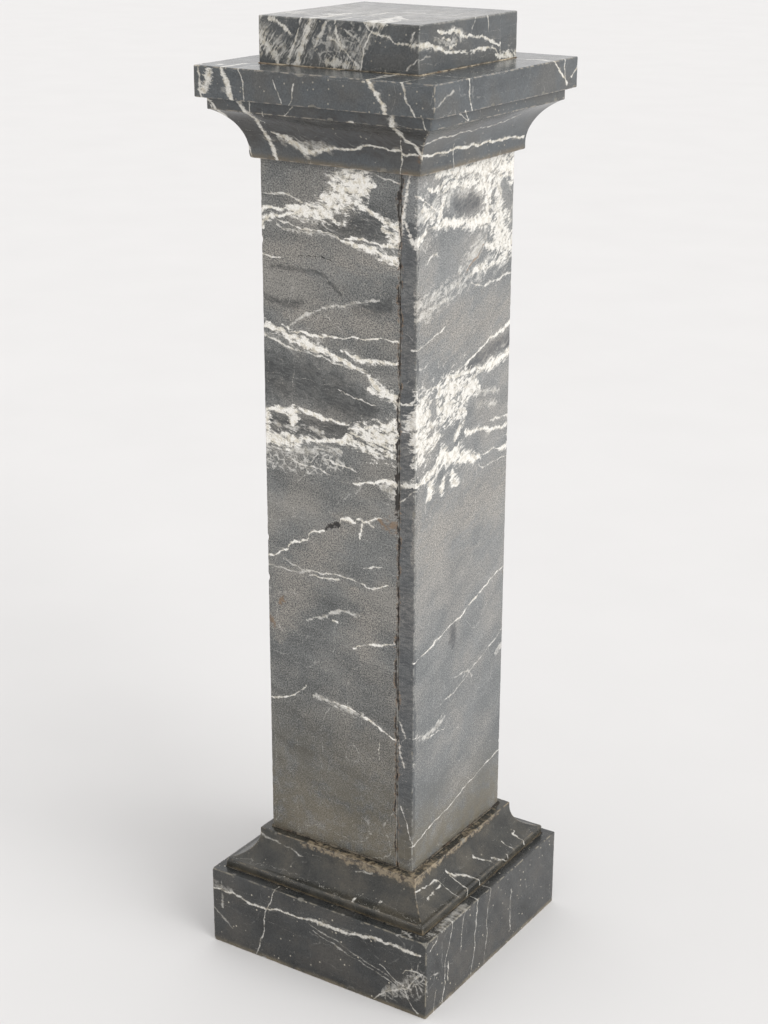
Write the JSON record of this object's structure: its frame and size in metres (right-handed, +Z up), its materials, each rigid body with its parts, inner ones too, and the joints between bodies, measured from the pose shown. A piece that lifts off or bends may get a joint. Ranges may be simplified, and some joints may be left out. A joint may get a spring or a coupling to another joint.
{
  "type": "marble pedestal column",
  "caption": "Square dark-veined marble pedestal: plinth, coved base moulding, hollow slab shaft, coved cap with abacus, and a loose top block to stand an ornament on.",
  "frame": {"origin": "on the floor, at the middle of the plinth's underside", "axes": "+Z up the column; -Y is the front, where the right-hand shaft slab shows its edge; +X is the side to the right of the front"},
  "size_m": [0.3, 0.3, 1.0812],
  "materials": {
    "polished_marble": "polished dark grey marble with cream-white veins, worn at the arrises",
    "weathered_marble": "the same marble, honed and weathered to a mid grey, with cream-white veins"
  },
  "bodies": {
    "root": {"plinth": "polished_marble", "base_moulding": "polished_marble", "shaft_front_slab": "weathered_marble", "shaft_right_slab": "weathered_marble", "shaft_back_slab": "weathered_marble", "shaft_left_slab": "weathered_marble", "cap": "polished_marble", "top_block": "polished_marble"}
  },
  "joints": []
}
